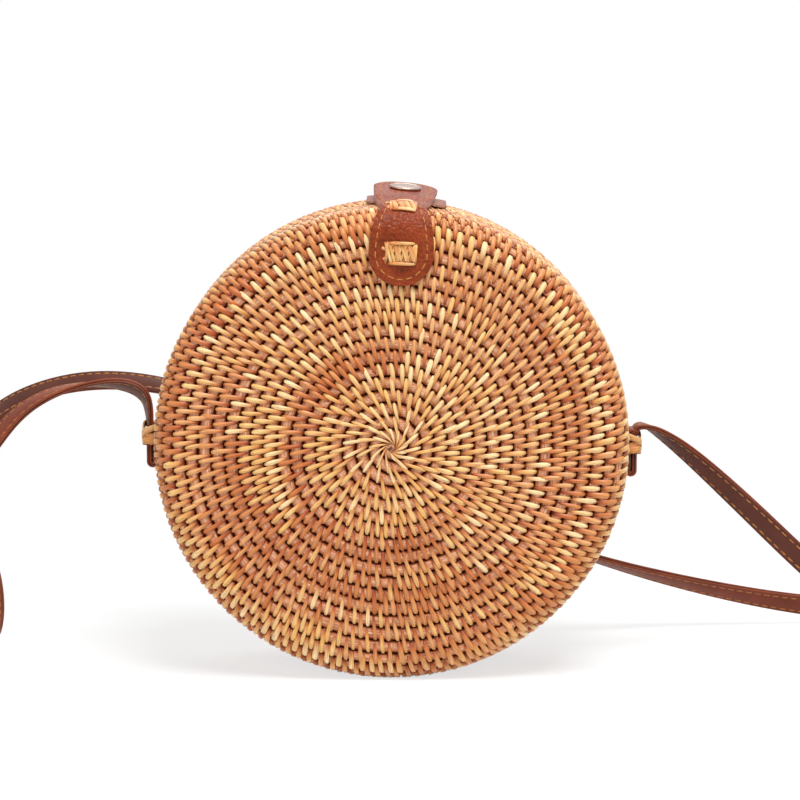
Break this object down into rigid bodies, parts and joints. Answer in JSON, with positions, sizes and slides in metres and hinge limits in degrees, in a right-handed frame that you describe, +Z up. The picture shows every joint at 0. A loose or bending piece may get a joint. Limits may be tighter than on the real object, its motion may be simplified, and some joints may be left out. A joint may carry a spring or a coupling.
{
  "type": "round woven shoulder bag",
  "caption": "Round clamshell shoulder bag of coiled rattan with a leather snap tab, rattan-tied side lugs and a long two-ply leather strap.",
  "frame": {"origin": "on the floor under the middle of the bag, at the mouth plane where the two halves meet", "axes": "+Z up; the woven discs face -Y (front, with the tab) and +Y (rear); X along the bottom hinge"},
  "size_m": [0.4697, 0.1538, 0.2064],
  "materials": {
    "woven_rattan": "coiled and stitched natural rattan",
    "split_rattan": "natural split rattan",
    "cotton_lining": "plain woven cotton",
    "tab_leather": "grained, semi-matt",
    "strap_leather": "smooth, semi-matt",
    "snap_metal": "polished, warm plated"
  },
  "bodies": {
    "rear_half": {"rear_shell": "woven_rattan", "rear_mouth_coil": "woven_rattan", "rear_lining": "cotton_lining", "left_hinge_lacing": "split_rattan", "right_hinge_lacing": "split_rattan", "keeper_patch": "tab_leather", "keeper_stitch": "split_rattan", "snap_stud": "snap_metal", "stud_post": "snap_metal", "left_strap_end": "strap_leather", "right_strap_end": "strap_leather", "left_tie": "split_rattan", "right_tie": "split_rattan", "strap": "strap_leather"},
    "front_half": {"front_shell": "woven_rattan", "front_mouth_coil": "woven_rattan", "front_lining": "cotton_lining", "closure_tab": "tab_leather", "tab_front_stitch": "split_rattan", "tab_top_stitch": "split_rattan"},
    "tab_flap": {"tab_flap": "tab_leather", "snap_cap": "snap_metal", "snap_socket": "snap_metal"}
  },
  "joints": [
    {"name": "front_open", "type": "hinge", "parent": "rear_half", "child": "front_half", "pos_m": [0, 0, 0], "axis": [1, 0, 0], "range_deg": [0, 110], "deforming": ["left_hinge_lacing", "right_hinge_lacing"]},
    {"name": "tab_lift", "type": "hinge", "parent": "front_half", "child": "tab_flap", "pos_m": [0.00497, -0.014, 0.20078], "axis": [0.9988, 0, -0.0489], "range_deg": [0, 110]}
  ]
}
